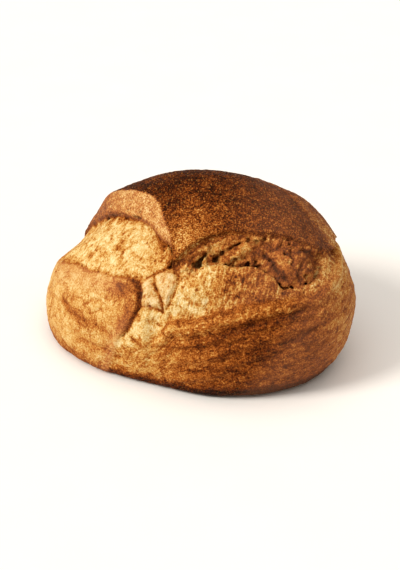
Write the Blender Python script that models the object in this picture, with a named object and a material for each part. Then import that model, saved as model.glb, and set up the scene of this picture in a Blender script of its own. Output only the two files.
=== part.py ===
"""A sourdough loaf, baked as one piece and resting on its flat base.

The dough was scored on top before baking. The score tore open in three arms that meet left of
the front, and left three plates of crust round the torn crumb: a cap over the crown and the back,
a small flap at the left, and the long front crust that runs round into the sides and the base.

Features are placed on the crust map. A point's map position is its angle from the crown, seen
from the middle of the loaf and laid out flat like a polar chart: x to the right and y to the back,
in degrees. The crown is (0, 0), and the ring at 90 degrees is the loaf's widest level.
"""

import bmesh
import bpy
import numpy as np

# Driving sizes of the body, in metres.
HALF_LENGTH = 0.121
HALF_BREADTH = 0.094
CROWN_RISE = 0.086
BELLY_DROP = 0.075
WIDEST_LEVEL = 0.039
CROWN_ROUNDNESS = 2.0
BELLY_ROUNDNESS = 2.45
TURN = np.radians(-14.0)
LEAN_X, LEAN_Y = 0.25, -0.05
MIDDLE_X, MIDDLE_Y = 0.0059, -0.0001

# Broad swellings of the dough: bearing and height over the widest level in degrees, and how far
# the body swells there, as a share of its radius.
SWELLING_SPREAD = 0.45
SWELLINGS = (
    (-150, 25, -0.08),
    (-90, 10, -0.03),
    (-40, 5, 0.10),
    (0, 10, -0.105),
    (40, 30, 0.06),
    (180, 10, 0.015),
    (-20, 45, -0.05),
    (140, 50, 0.11),
    (-120, -15, -0.08),
    (-75, -20, 0.01),
    (30, -10, -0.025),
    (25, 35, -0.065),
    (90, 45, -0.04),
    (175, 30, -0.035),
)

# Outlines on the crust map, each through a few points.
EAR = (
    (-28, -42.5), (-24, -40.6), (-17.8, -35.8), (-10.4, -32.4), (0, -30.6), (13, -30.2),
    (26.6, -28.8), (37, -29), (46, -26.5), (56, -17), (60, -3),
)
CAP_BACK = ((72, 30), (60, 95), (0, 125), (-80, 90), (-92, 58), (-76, 36))
CAP_LIP = (
    (-62, 18), (-56.5, 13), (-50.6, 5), (-45.3, -2.5), (-39.5, -12.8), (-33.3, -24.2),
    (-29.5, -30), (-27.4, -36),
)
CAP_SIDE_TOP = (
    (-58, 40), (-49, 24), (-45.4, 18), (-42, 13), (-36, 2), (-33, -5.4), (-32, -11.4),
    (-30.6, -18.5), (-28.8, -24.3), (-28, -29),
)
CREVICE = (
    (-28, -43), (-22, -48.8), (-15, -48.8), (-12, -45.2), (-4.5, -45.3), (3, -46.3),
    (13.7, -45.8), (23, -48.4), (31, -52.6), (37, -50.2), (43, -46.5), (47, -40), (48.5, -31),
)
FLAP = (
    (-46, -41), (-56, -34), (-66, -21), (-77, 0), (-82, 22), (-95, 42), (-125, 30),
    (-130, -50), (-100, -80), (-72, -74), (-62, -66), (-52, -63), (-46, -56),
)
FRONT_CRUST = (
    (61, -5), (57, -25), (51, -41), (42, -51), (16, -63), (-10, -71), (-27, -70), (-36, -76),
    (-55, -78), (-66, -70), (-90, -60), (-140, -90), (0, -178), (130, -120), (150, 60),
    (40, 150), (-110, 120), (-115, 50), (-88, 50), (-60, 80), (0, 100), (60, 60), (68, 25),
)

# Heights over the body, in metres, and widths on the map, in degrees.
CAP_RISE = 0.0070
CAP_RISE_AT_BACK = 0.0010
CAP_RIGHT_DROP = 0.0035
CAP_LIP_HEIGHT = 0.0030
CAP_SIDE_PUFF = 0.45
EAR_BEVEL = 2.6
FLAP_RISE = 0.0035
FRONT_RISE = 0.0010
PLATE_BEVEL = 3.0
TORN_TOP = 0.0040
TORN_FOOT = -0.0080
TORN_FOOT_AT_LEFT = -0.0020
BLOOM_FLOOR = -0.0045
BLOOM_BULGE = 0.0045
BLOOM_BULGE_WIDTH = 11.0
LEFT_BLOOM_SWELL = 0.0055
LEFT_BLOOM_WIDTH = 24.0
LUMP_MIDDLE = (33.5, -42.5)
LUMP_HALF_SIZE = (13.5, 10.0)
LUMP_HEIGHT = 0.0070
# Small bulges and dips of the dough: the middle, how wide and how high.
BULGES = (
    ((-33, -52), 8.0, 0.0030),
    ((-40, -71), 14.0, 0.0028),
    ((-54, 28), 10.0, 0.0040),
    ((-69, 20), 9.0, -0.0055),
    ((52, 12), 15.0, 0.0035),
    ((10, -104), 22.0, 0.0020),
)
# Stretch folds of the front crust: how far in from its torn edge, half width, height. They draw
# together towards the right.
FOLDS = ((5.5, 2.6, 0.0026), (11.5, 2.8, -0.0016), (18.0, 3.0, 0.0009), (26.0, 3.5, -0.0006))
FOLDS_FADE = ((-45.0, -15.0), (45.0, 80.0))
FOLDS_DRAWN_TOGETHER = 0.45

# The mesh: quads along each edge of the cube that the body starts as.
CUBE_CUTS = 33

CRUST_BROWN = (0.30, 0.13, 0.04, 1.0)
CRUST_ROUGHNESS = 0.75


def clear_scene():
    for old in list(bpy.data.objects):
        bpy.data.objects.remove(old)


def smooth_step(low, high, value):
    """0 below low and 1 above high, with a smooth rise between them."""
    share = np.clip((value - low) / (high - low), 0.0, 1.0)
    return share * share * (3.0 - 2.0 * share)


def swell(distance, width):
    """A bell curve, 1 at no distance."""
    return np.exp(-((distance / width) ** 2))


def round_over(share):
    """A quarter circle: steep at the foot and level at the top."""
    return np.sqrt(1.0 - (1.0 - np.clip(share, 0.0, 1.0)) ** 2)


def curve_through(points, closed, steps=8):
    """A smooth line through the points, as an array of map positions (Catmull-Rom)."""
    points = np.array(points, float)
    count = len(points)
    spans = count if closed else count - 1
    line = []
    for i in range(spans):
        if closed:
            before, start, end, after = (points[(i + k) % count] for k in (-1, 0, 1, 2))
        else:
            before, start, end, after = (points[min(max(i + k, 0), count - 1)] for k in (-1, 0, 1, 2))
        for t in np.arange(steps) / steps:
            line.append(
                0.5 * (2 * start + (end - before) * t
                       + (2 * before - 5 * start + 4 * end - after) * t**2
                       + (3 * start - before - 3 * end + after) * t**3)
            )
    line.append(line[0] if closed else points[-1])
    return np.array(line)


def distance_to(line, x, y):
    """How far each map position is from the line."""
    nearest = np.full(x.shape, np.inf)
    for (ax, ay), (bx, by) in zip(line[:-1], line[1:]):
        along_x, along_y = bx - ax, by - ay
        length_squared = along_x**2 + along_y**2
        if length_squared == 0.0:
            continue
        share = np.clip(((x - ax) * along_x + (y - ay) * along_y) / length_squared, 0.0, 1.0)
        nearest = np.minimum(nearest, np.hypot(x - ax - share * along_x, y - ay - share * along_y))
    return nearest


def depth_inside(outline, x, y):
    """How far each map position is inside the closed outline, below zero outside it."""
    inside = np.zeros(x.shape, bool)
    for (ax, ay), (bx, by) in zip(outline[:-1], outline[1:]):
        crosses = (ay > y) != (by > y)
        if ay != by:
            inside ^= crosses & (x < ax + (y - ay) * (bx - ax) / (by - ay))
    distance = distance_to(outline, x, y)
    return np.where(inside, distance, -distance)


def cap_side_share(x, y):
    """How far up the cap's left side face each map position is: 0 at its lip, 1 on the cap's top."""
    lip = curve_through(CAP_BACK[-1:] + CAP_LIP, closed=False)
    side_top = curve_through(CAP_SIDE_TOP, closed=False)
    side_face = depth_inside(np.concatenate([lip, side_top[::-1], lip[:1]]), x, y)
    from_lip = distance_to(lip, x, y)
    from_side_top = distance_to(side_top, x, y)
    return np.where(side_face > 0.0, from_lip / (from_lip + from_side_top + 1e-6), 1.0)


def relief(x, y):
    """Height of the crust or the torn crumb over the smooth body at each map position."""
    ear = curve_through(EAR, closed=False)
    crevice = curve_through(CREVICE, closed=False)
    cap = depth_inside(curve_through(EAR + CAP_BACK + CAP_LIP, closed=True), x, y)
    flap = depth_inside(curve_through(FLAP, closed=True), x, y)
    front = depth_inside(curve_through(FRONT_CRUST, closed=True), x, y)
    torn = depth_inside(np.concatenate([ear, crevice[::-1], ear[:1]]), x, y)

    from_ear = distance_to(ear, x, y)
    from_crevice = distance_to(crevice, x, y)
    down_wall = from_ear / (from_ear + from_crevice + 1e-6)
    foot = TORN_FOOT_AT_LEFT + (TORN_FOOT - TORN_FOOT_AT_LEFT) * smooth_step(-20.0, -9.0, x)
    wall = TORN_TOP + (foot - TORN_TOP) * down_wall
    across = (x - LUMP_MIDDLE[0]) / LUMP_HALF_SIZE[0]
    along = (y - LUMP_MIDDLE[1]) / LUMP_HALF_SIZE[1]
    wall += LUMP_HEIGHT * np.sqrt(np.clip(1.0 - across**2 - along**2, 0.0, 1.0))

    bloom = BLOOM_FLOOR + BLOOM_BULGE * swell(from_crevice - BLOOM_BULGE_WIDTH / 2, BLOOM_BULGE_WIDTH)
    at_left = 1.0 - smooth_step(-46.0, -36.0, x)
    bloom += LEFT_BLOOM_SWELL * smooth_step(0.0, LEFT_BLOOM_WIDTH, -cap) * at_left
    crumb = bloom + (wall - bloom) * smooth_step(-0.5, 1.5, torn)

    cap_rise = CAP_RISE + (CAP_RISE_AT_BACK - CAP_RISE) * smooth_step(-10.0, 60.0, y)
    cap_rise -= CAP_RIGHT_DROP * smooth_step(30.0, 58.0, x)
    share = cap_side_share(x, y)
    profile = (1.0 - CAP_SIDE_PUFF) * share + CAP_SIDE_PUFF * round_over(share)
    cap_height = crumb + CAP_LIP_HEIGHT + (cap_rise - crumb - CAP_LIP_HEIGHT) * profile

    drawn = front / (1.0 - FOLDS_DRAWN_TOGETHER * smooth_step(5.0, 52.0, x))
    folds = sum(height * swell(drawn - inset, width) for inset, width, height in FOLDS)
    (left_out, left_in), (right_in, right_out) = FOLDS_FADE
    folds *= smooth_step(left_out, left_in, x) * (1.0 - smooth_step(right_in, right_out, x))

    plates = (
        (cap_height, smooth_step(-EAR_BEVEL / 2, EAR_BEVEL / 2, cap)),
        (FLAP_RISE, smooth_step(-PLATE_BEVEL / 2, PLATE_BEVEL / 2, flap)),
        (FRONT_RISE + folds, smooth_step(-PLATE_BEVEL / 2, PLATE_BEVEL / 2, front)),
    )
    height = np.max([crumb + (rise - crumb) * inside for rise, inside in plates], axis=0)
    for (middle_x, middle_y), width, rise in BULGES:
        height += rise * swell(np.hypot(x - middle_x, y - middle_y), width)
    return height


def body_reach(direction):
    """How far the smooth body reaches from its middle along each unit direction."""
    dx = direction[:, 0] * np.cos(TURN) + direction[:, 1] * np.sin(TURN)
    dy = direction[:, 1] * np.cos(TURN) - direction[:, 0] * np.sin(TURN)
    dz = direction[:, 2]
    out = np.hypot(dx / HALF_LENGTH, dy / HALF_BREADTH)
    rise = np.where(dz > 0.0, CROWN_RISE, BELLY_DROP)
    roundness = np.where(dz > 0.0, CROWN_ROUNDNESS, BELLY_ROUNDNESS)
    reach = (out**roundness + (np.abs(dz) / rise) ** roundness) ** (-1.0 / roundness)
    for bearing, height, share in SWELLINGS:
        bearing, height = np.radians(bearing), np.radians(height)
        peak = np.array([
            np.cos(height) * np.cos(bearing),
            np.cos(height) * np.sin(bearing),
            np.sin(height),
        ])
        off_peak = np.linalg.norm(direction - peak, axis=1)
        reach *= 1.0 + share * swell(off_peak, SWELLING_SPREAD * np.sqrt(2.0))
    return reach


def crust_map(direction):
    """Map positions of unit directions from the middle of the loaf."""
    angle = np.degrees(np.arccos(np.clip(direction[:, 2], -1.0, 1.0)))
    bearing = np.arctan2(direction[:, 1], direction[:, 0])
    return angle * np.cos(bearing), angle * np.sin(bearing)


def loaf_point(direction):
    """Points of the loaf's surface along unit directions, standing over the base at z = 0."""
    x, y = crust_map(direction)
    points = direction * (body_reach(direction) + relief(x, y))[:, None]
    points[:, 0] += LEAN_X * points[:, 2] + MIDDLE_X
    points[:, 1] += LEAN_Y * points[:, 2] + MIDDLE_Y
    points[:, 2] += WIDEST_LEVEL
    return points


def crust_material():
    material = bpy.data.materials.new("baked_crust")
    material.use_nodes = True
    shader = material.node_tree.nodes["Principled BSDF"]
    shader.inputs["Base Color"].default_value = CRUST_BROWN
    shader.inputs["Roughness"].default_value = CRUST_ROUGHNESS
    shader.inputs["Metallic"].default_value = 0.0
    return material


def make_loaf(collection):
    """A finely cut cube, rounded to a ball, pushed out to the loaf and sliced flat at its base."""
    mesh = bpy.data.meshes.new("sourdough_loaf")
    shape = bmesh.new()
    bmesh.ops.create_cube(shape, size=2.0)
    bmesh.ops.subdivide_edges(shape, edges=shape.edges[:], cuts=CUBE_CUTS, use_grid_fill=True)
    on_cube = np.array([vertex.co for vertex in shape.verts])
    ball = np.tan(on_cube * np.pi / 4.0)
    ball /= np.linalg.norm(ball, axis=1, keepdims=True)
    for vertex, point in zip(shape.verts, loaf_point(ball)):
        vertex.co = point
    everything = shape.verts[:] + shape.edges[:] + shape.faces[:]
    cut = bmesh.ops.bisect_plane(
        shape, geom=everything, plane_co=(0, 0, 0), plane_no=(0, 0, 1), clear_inner=True
    )
    rim = [item for item in cut["geom_cut"] if isinstance(item, bmesh.types.BMEdge)]
    bmesh.ops.edgeloop_fill(shape, edges=rim)
    bmesh.ops.recalc_face_normals(shape, faces=shape.faces[:])
    shape.to_mesh(mesh)
    shape.free()
    mesh.shade_smooth()
    mesh.set_sharp_from_angle(angle=np.radians(60.0))
    mesh.materials.append(crust_material())
    loaf = bpy.data.objects.new("sourdough_loaf", mesh)
    collection.objects.link(loaf)
    return loaf


def main():
    clear_scene()
    collection = bpy.data.collections.new("sourdough_loaf")
    bpy.context.scene.collection.children.link(collection)
    make_loaf(collection)


main()
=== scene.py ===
"""A sourdough loaf with its baked crust, its torn crumb and its bran, lying on a plain table.

The loaf is one body of dough. Its scored top tore open in three arms that meet left of the front,
and left three plates of crust round the torn crumb: a cap over the crown and the back, a small flap
at the left, and the long front crust that runs round into the sides and the base.

Features are placed on the crust map. A point's map position is its angle from the crown, seen from
the middle of the loaf and laid out flat like a polar chart: x to the right and y to the back, in
degrees. The crown is (0, 0), and the ring at 90 degrees is the loaf's widest level. Sizes in the
shaping of the dough are millimetres, and become metres when the mesh is made.
"""
import itertools
import math
from types import SimpleNamespace

import bmesh
import bpy
import numpy as np
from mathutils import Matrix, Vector


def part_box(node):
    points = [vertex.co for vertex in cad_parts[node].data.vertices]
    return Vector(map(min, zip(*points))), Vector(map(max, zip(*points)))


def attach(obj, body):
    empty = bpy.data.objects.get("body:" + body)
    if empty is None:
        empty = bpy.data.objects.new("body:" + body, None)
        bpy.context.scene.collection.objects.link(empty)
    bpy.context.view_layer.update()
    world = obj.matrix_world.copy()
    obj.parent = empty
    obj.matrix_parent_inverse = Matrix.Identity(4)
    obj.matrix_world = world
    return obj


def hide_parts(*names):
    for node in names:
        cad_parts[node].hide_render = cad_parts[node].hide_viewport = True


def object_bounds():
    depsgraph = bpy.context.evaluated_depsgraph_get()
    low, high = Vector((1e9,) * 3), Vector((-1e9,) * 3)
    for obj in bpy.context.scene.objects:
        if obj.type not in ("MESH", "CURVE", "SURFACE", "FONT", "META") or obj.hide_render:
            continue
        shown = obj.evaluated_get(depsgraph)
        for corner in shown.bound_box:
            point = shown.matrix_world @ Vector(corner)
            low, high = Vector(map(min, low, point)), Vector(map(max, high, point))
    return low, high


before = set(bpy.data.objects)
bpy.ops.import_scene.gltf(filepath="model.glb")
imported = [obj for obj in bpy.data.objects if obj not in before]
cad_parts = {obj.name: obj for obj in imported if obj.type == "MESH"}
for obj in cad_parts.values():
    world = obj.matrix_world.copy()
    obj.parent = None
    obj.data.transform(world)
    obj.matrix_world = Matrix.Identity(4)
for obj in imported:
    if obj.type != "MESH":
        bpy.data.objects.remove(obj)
cad_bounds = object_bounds()

MM = 0.001

# -------- the body of dough, as in the CAD
HALF_LENGTH = 121.0
HALF_BREADTH = 94.0
CROWN_RISE = 86.0
BELLY_DROP = 75.0
WIDEST_LEVEL = 39.0
CROWN_ROUNDNESS = 2.0
BELLY_ROUNDNESS = 2.45
TURN = math.radians(-14.0)
LEAN_X, LEAN_Y = 0.25, -0.05
MIDDLE_X, MIDDLE_Y = 5.9, -0.1
FOOT_ROUNDING = 5.0

# Broad swellings of the dough: bearing and height over the widest level in degrees, and how far
# the body swells there, as a share of its radius.
SWELLING_SPREAD = 0.45
SWELLINGS = (
    (-150, 25, -0.08),
    (-90, 10, -0.03),
    (-40, 5, 0.10),
    (0, 10, -0.105),
    (40, 30, 0.06),
    (180, 10, 0.015),
    (-20, 45, -0.05),
    (140, 50, 0.11),
    (-120, -15, -0.08),
    (-75, -20, 0.01),
    (30, -10, -0.025),
    (25, 35, -0.065),
    (90, 45, -0.04),
    (175, 30, -0.035),
)

# -------- outlines on the crust map
EAR = (
    (-28, -42.5), (-24, -40.6), (-17.8, -35.8), (-10.4, -32.4), (0, -30.6), (13, -30.2),
    (26.6, -28.8), (37, -29), (46, -26.5), (56, -17), (60, -3),
)
CAP_BACK = ((72, 30), (60, 95), (0, 125), (-80, 90), (-84, 66), (-70, 42))
CAP_LIP = (
    (-61, 22), (-56.5, 13), (-50.6, 5), (-45.3, -2.5), (-39.5, -12.8), (-33.3, -24.2),
    (-29.5, -30), (-27.4, -36),
)
CAP_SIDE_TOP = (
    (-58, 40), (-49, 24), (-45.4, 18), (-42, 13), (-36, 2), (-33, -5.4), (-32, -11.4),
    (-30.6, -18.5), (-28.8, -24.3), (-28, -29),
)
CREVICE = (
    (-28, -43), (-22, -48.8), (-15, -48.8), (-12, -45.2), (-4.5, -45.3), (3, -46.3),
    (13.7, -45.8), (23, -48.4), (31, -52.6), (37, -50.2), (43, -46.5), (47, -40), (48.5, -31),
)
FLAP = (
    (-46, -41), (-56, -34), (-66, -21), (-77, 0), (-82, 22), (-95, 42), (-125, 30),
    (-130, -50), (-100, -80), (-72, -74), (-62, -66), (-52, -63), (-46, -56),
)
FRONT_CRUST = (
    (61, -5), (57, -25), (51, -41), (42, -51), (16, -63), (-10, -71), (-27, -70), (-36, -76),
    (-55, -78), (-66, -70), (-90, -60), (-140, -90), (0, -178), (130, -120), (150, 60),
    (40, 150), (-110, 120), (-115, 50), (-88, 50), (-60, 80), (0, 100), (60, 60), (68, 25),
)
KNOT_LEFT = (
    (-45, -44.5), (-40.8, -43.2), (-38.4, -44), (-38, -48), (-36.2, -53), (-34.6, -57),
    (-33.4, -62.5), (-38, -60.5), (-44, -57),
)
KNOT_RIGHT = (
    (-36, -43), (-31.5, -43.3), (-27, -45.5), (-24.4, -50), (-25, -54), (-27.4, -58),
    (-31, -62.5), (-32.6, -57), (-34, -52.5), (-35.8, -47.7),
)

# -------- heights over the body and widths
CAP_RISE = 7.0
CAP_RISE_AT_BACK = 1.0
EAR_STEP = 1.3
EAR_CURL = 1.3
CAP_SIDE_PUFF = 0.45
CAP_BEAD = 0.7
CAP_BEAD_WIDTH = 1.6
CAP_LIP_HEIGHT = 3.0
CAP_RIGHT_DROP = 3.5
FLAP_RISE = 3.0
FLAP_CURL = 1.4
FRONT_RISE = 1.0
PLATE_STEP = 2.2
PLATE_STEP_IN_VALLEY = 9.0
PLATE_BLEND = 1.2
TORN_TOP = 4.0
TORN_FOOT = -8.0
TORN_FOOT_AT_LEFT = -2.0
LEDGE_WIDTH = 2.7
LEDGE_HEIGHT = 1.6
BLOOM_FLOOR = -4.5
BLOOM_BULGE = 4.5
BLOOM_BULGE_WIDTH = 11.0
LEFT_BLOOM_SWELL = 5.5
LEFT_BLOOM_WIDTH = 24.0
LEFT_BLOOM_TURN = 50.0
LUMP_MIDDLE = (33.5, -42.5)
LUMP_HALF_SIZE = (13.5, 10.0)
LUMP_HEIGHT = 7.0
VALLEY_MIDDLE = (-40, -71)
VALLEY_WIDTH = 14.0
VALLEY_SWELL = 2.8
KNOT_MIDDLE = (-33, -52)
KNOT_WIDTH = 7.0
KNOT_HEIGHT = 1.5
KNOT_THICK = 2.8
KNOT_PUFF = 4.0
# Stretch folds of the front crust: how far in from its torn edge, half width, height. They draw
# together towards the right.
FOLDS = (
    (5.0, 2.6, 2.3), (10.0, 1.8, -1.1), (13.5, 1.7, 0.8), (17.0, 1.2, -0.9), (21.0, 1.8, 0.8),
    (25.0, 1.2, -0.8), (31.0, 2.2, 0.7), (36.0, 1.4, -0.6),
)
FOLDS_FADE = ((-45.0, -15.0), (45.0, 80.0))
FOLDS_DRAWN_TOGETHER = 0.45

# Small bulges and dips of the body: the middle, how wide and how high.
BULGES = (
    ((-54, 28), 10.0, 4.0),
    ((-68, 22), 11.0, -9.0),
    ((52, 12), 15.0, 3.5),
    ((10, -104), 22.0, 2.0),
)
FLAP_LOWER_FOLD = ((-84.6, -18), (-84, -27), (-80, -37.5), (-75.4, -46), (-71, -53), (-67, -61))
# Creases: a line on the map, how deep it is and its half width.
CREASES = (
    # along the torn strips under the ear
    (((-26.5, -43.4), (-23, -41.6), (-19.8, -39.4), (-15.7, -36.4), (-11.5, -34.2), (-5, -32.6)), 1.6, 1.3),
    (((-24.2, -44.4), (-20.7, -42.3), (-17.3, -40.4), (-14.4, -39.3), (-11, -38.2)), 1.4, 1.1),
    # round the knot and across it
    (((-44.2, -44.5), (-40.8, -43.0), (-37.8, -42.1), (-35.4, -42), (-31.8, -42.3)), 1.5, 1.2),
    (((-37.4, -43), (-37, -47.7), (-35.3, -53), (-33.6, -57), (-32.4, -63)), 1.8, 0.8),
    (((-46, -56), (-40.3, -58.6), (-35.7, -62.3), (-31.5, -64.3)), 1.3, 0.9),
    (((-29.8, -63), (-26.2, -58.4), (-24, -54), (-23.2, -49.4), (-26, -45)), 1.6, 0.8),
    # where the left bloom curls up against the cap
    (((-27.3, -32.5), (-26.0, -36), (-27, -39), (-30, -41.5)), 2.2, 1.5),
    (((-39.8, -21), (-38, -18.6), (-34.5, -22), (-33.2, -27.1)), 0.9, 1.0),
    # round the flap, and its wrinkles
    (((-78.7, 3.3), (-74.4, -5.2), (-71.6, -11.5), (-68.6, -17.7), (-65.5, -21.7), (-61.2, -27.4),
      (-57, -32.5), (-51, -36.9), (-47.3, -40)), 1.5, 1.0),
    (((-47.3, -40), (-45.4, -44.5), (-44.8, -48.5), (-45.1, -52.5), (-46.4, -57.2), (-50.6, -61.6),
      (-55, -64.6), (-60, -66)), 2.4, 1.7),
    (((-74.7, -33.9), (-70.8, -35.3), (-67.6, -38.8), (-67.4, -43.3), (-70.7, -42.9), (-73.9, -40.6),
      (-73.5, -37.8)), 1.2, 0.9),
    (FLAP_LOWER_FOLD, 0.8, 1.3),
    # cracks in the lump
    (((27.2, -37.6), (29.9, -38.3), (31.4, -40.3), (31.2, -42.2)), 2.0, 1.1),
    (((20, -38.5), (21.5, -40.5), (24.2, -43.6), (26, -46), (31.4, -48.2)), 1.8, 1.1),
    (((22, -36), (26, -34.2), (31, -35.6), (35, -33.2), (38.9, -31.7), (44, -31.0)), 1.4, 1.0),
    (((36, -39), (35.8, -41.3), (35.4, -44.7), (38.5, -46.7)), 1.6, 1.0),
    # folds of the valley between flap and front crust
    (((-38, -67), (-31, -73), (-29, -70), (-28, -66)), 1.0, 1.2),
    (((-34, -66), (-31, -75), (-27, -82)), 0.9, 1.2),
    (((-23.5, -49.9), (-18.8, -50.4), (-14.6, -49.3)), 1.5, 1.1),
    # the front crust
    (((8, -76.5), (13.9, -73.6), (22.5, -69.6), (31.5, -65.9), (37.5, -61.3), (42.8, -56), (46.8, -51),
      (51, -45.3)), 0.7, 2.2),
    (((-39, -81), (-21, -86), (-5, -85), (8, -81)), 1.0, 1.5),
    (((26, -82), (40, -73), (51, -62), (60, -48)), 1.1, 1.7),
    (((-8, -99), (8, -96), (25, -89), (42, -76)), 0.9, 1.6),
    (((-88, -44), (-77, -61), (-66, -77)), 1.1, 1.8),
    # the cap
    (((9.4, 20), (15, 18.6), (21.6, 12.8), (28.3, 5.2), (32.7, -3.5), (37.6, -9.1)), 0.9, 1.8),
    (((-12.7, 4.8), (-10.7, -1.1), (-8.9, -4.3), (-6.1, -9.5)), 0.9, 1.0),
    (((-16.2, -3), (-13.6, -8.2), (-11, -5.6)), 0.8, 0.9),
    (((-58, 14.5), (-53.7, 9.6), (-50.6, 5.1), (-48.4, 1.2), (-45.1, -2.9), (-41.5, -7)), 1.6, 0.9),
)
TAN_STRAND = ((-1, -45.0), (2.7, -42.8), (6.2, -39.8), (9.7, -36.6), (12.4, -33.7))
# Raised strands: a line on the map, how high it is and its half width.
STRANDS = (
    (TAN_STRAND, 3.0, 3.4),
    (((-10.3, -45.5), (-10.2, -40.1), (-10.6, -36.0)), 2.6, 1.4),
    (((26.2, -48.5), (29.5, -50.2), (33.5, -52.6)), 1.6, 1.1),
)
# Undercuts: a line on the map, the height of the cut's middle, its half height and half width.
UNDERCUTS = (
    (((-29, -43), (-23, -40), (-17, -35.6), (-10, -32.4), (-2, -30.8)), 4.8, 0.8, 2.2),
    (((-60, 16), (-54, 9), (-49, 1.5), (-45, -4)), -1.8, 1.4, 3.0),
    (((-31, -27), (-28.6, -31.3), (-27, -36), (-28, -41)), -2.5, 1.8, 2.4),
    (((-6, -41.4), (-1, -38.2), (4.5, -34.6), (9.5, -31.6)), -1.5, 2.6, 1.5),
    (((-12.5, -46), (-4, -45.2), (3, -46), (13, -45.4), (23, -48), (31, -52)), -6.0, 2.4, 1.6),
    (((31, -52), (37, -50), (43, -46), (46.5, -39)), -4.0, 1.6, 1.1),
)
# Holes that burst open: the place and the radius. They lie a little under the surface.
PITS = (
    ((-14.2, -43.0), 3.2), ((-12.9, -40.8), 2.6), ((-11.2, -39.4), 2.2), ((-5.6, -41.4), 4.2),
    ((-2.4, -38.8), 2.6),
    ((12.9, -44.2), 3.0), ((16.2, -42.2), 2.6), ((18.2, -44.9), 2.5), ((16.8, -31.2), 1.7),
    ((9.5, -31.5), 1.5), ((-14.8, -48.8), 1.7), ((48.3, -34.5), 1.6),
    ((-57.6, 15.6), 2.6), ((-55.0, 11.5), 2.2), ((-53.0, 15.1), 1.6), ((-42.0, -2.0), 1.3),
    ((-39.5, 3.4), 1.3), ((-44.4, 8.0), 1.4), ((-36.2, -8.6), 1.1), ((8.0, -57.0), 1.1),
    ((-47.0, 4.0), 1.6), ((-50.0, 10.0), 1.3),
)

# -------- uneven surfaces
# Rough patterns: the size of the lumps in millimetres, the kind of pattern and how strong it is, in
# degrees for how the outlines wander and in millimetres for the rest.
WANDER_X = ((15.0, 1, 0.6), (5.0, 2, 0.4))
WANDER_Y = ((15.0, 4, 0.6), (5.0, 5, 0.4))
ROUGH_CRUST = ((8.0, 11, 0.35), (4.0, 26, 0.22))
ROUGH_BLOOM = ((9.0, 12, 0.5), (4.0, 13, 0.25))
ROUGH_WALL = ((7.5, 14, 1.3), (3.6, 15, 0.8))
GRAIN_ALONG_FOLDS = ((6.0, 21, 0.55), (3.2, 29, 0.3))

# -------- how dark each part baked
# From 0 for pale dough to 1 for burnt.
BLOOM_BAKE = 0.14
BLOOM_BROWNING = 0.33       # how much darker the bloom is at its right end
WALL_BAKE = 0.54
WALL_BAKE_LEAST = 0.34
KNOT_BAKE = 0.14
FRONT_BAKE = 0.36
FRONT_BROWNING = 0.28       # how much darker the front crust is at its right end
FRONT_EDGE_BROWNING = 0.14
BACK_BAKE = 0.60
# The foot and the underside: burnt, with painted shade near the table as well.
LOW_BAKE_AND_SHADE = 0.62
UNDERSIDE_BAKE_AND_SHADE = 0.95
FLAP_BAKE = 0.29
FLAP_BACK_BAKE = 0.55
CAP_BAKE = 0.78
CAP_SIDE_BAKE = 0.35
# Patches that baked darker or paler: the middle, the half widths along x and y, how much darker.
BLOOM_PATCHES = (
    (VALLEY_MIDDLE, (VALLEY_WIDTH, VALLEY_WIDTH), 0.03),
    ((-33, -31), (8.5, 8.5 / 0.8), 0.30),
    ((4, -56), (5.0 / 0.6, 5.0), 0.16),
)
CAP_PATCHES = (
    ((-24, -32), (17.0, 17.0), -0.28),
    ((54, -8), (10.0, 10.0), -0.10),
)
# How strongly the plates of crust, the cap, the bloom and the torn wall are marked. What the cap
# has comes on top of what it has as a plate.
MARKS = {
    "mottled": (0.07, 0.07, 0.14, 0.14),
    "gritty": (0.14, 0.10, 0.13, 0.13),
    "bran": (0.30, 0.20, 0.30, 0.25),
}

# -------- grids
DEGREE = 1.65               # millimetres to a degree of the map, at the loaf's usual radius
MAP_EDGE = 128.0
MAP_STEP = 0.4
CELL = 1.0
GRID_MARGIN = 8.0
NEAR = 4.0                  # how far from the surface the fine shape is worked out
TRIANGLES = 195000


# ======== small maths
def smooth_step(low, high, value):
    share = np.clip((value - low) / (high - low), 0.0, 1.0)
    return share * share * (3.0 - 2.0 * share)


def swell(distance, width):
    """1 on the middle line and 0 well away from it."""
    return np.exp(-(distance / width) ** 2)


def mixed(one, other, share):
    """The one value where the share is 0, and the other where it is 1."""
    return one + (other - one) * share


def highest(heights, blend):
    """The highest of several surfaces, with the valleys between them rounded a little."""
    top = heights[0]
    for other in heights[1:]:
        close = np.clip(1.0 - np.abs(top - other) / blend, 0.0, 1.0)
        top = np.maximum(top, other) + 0.25 * blend * close * close
    return top


def round_over(share):
    """A quarter circle: steep at the foot and level at the top."""
    return np.sqrt(1.0 - (1.0 - np.clip(share, 0.0, 1.0)) ** 2)


chance = np.random.default_rng(7)
SLOPES = chance.normal(size=(256, 3)).astype(np.float32)
SLOPES /= np.linalg.norm(SLOPES, axis=1)[:, None]
SHUFFLE = chance.permutation(256)


def lumps(points, size, kind):
    """Smooth noise, from about -1 to 1, with lumps of that size. Each kind is another pattern."""
    place = (points / size + 13.7 * kind).astype(np.float32)
    corner = np.floor(place).astype(np.int32)
    part = place - corner
    ease = part * part * part * (part * (part * 6 - 15) + 10)
    total = np.zeros(len(place), np.float32)
    for step in itertools.product((0, 1), repeat=3):
        near = (corner + np.array(step)) & 255
        chosen = SHUFFLE[(SHUFFLE[(SHUFFLE[near[:, 0]] + near[:, 1]) & 255] + near[:, 2]) & 255]
        weight = np.ones(len(place), np.float32)
        rise = np.zeros(len(place), np.float32)
        for axis in range(3):
            weight *= ease[:, axis] if step[axis] else 1.0 - ease[:, axis]
            rise += SLOPES[chosen, axis] * (part[:, axis] - step[axis])
        total += weight * rise
    return total * 1.7


def rough(points, pattern):
    """Noise of several sizes on top of each other."""
    return sum(height * lumps(points, size, kind) for size, kind, height in pattern)


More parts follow.
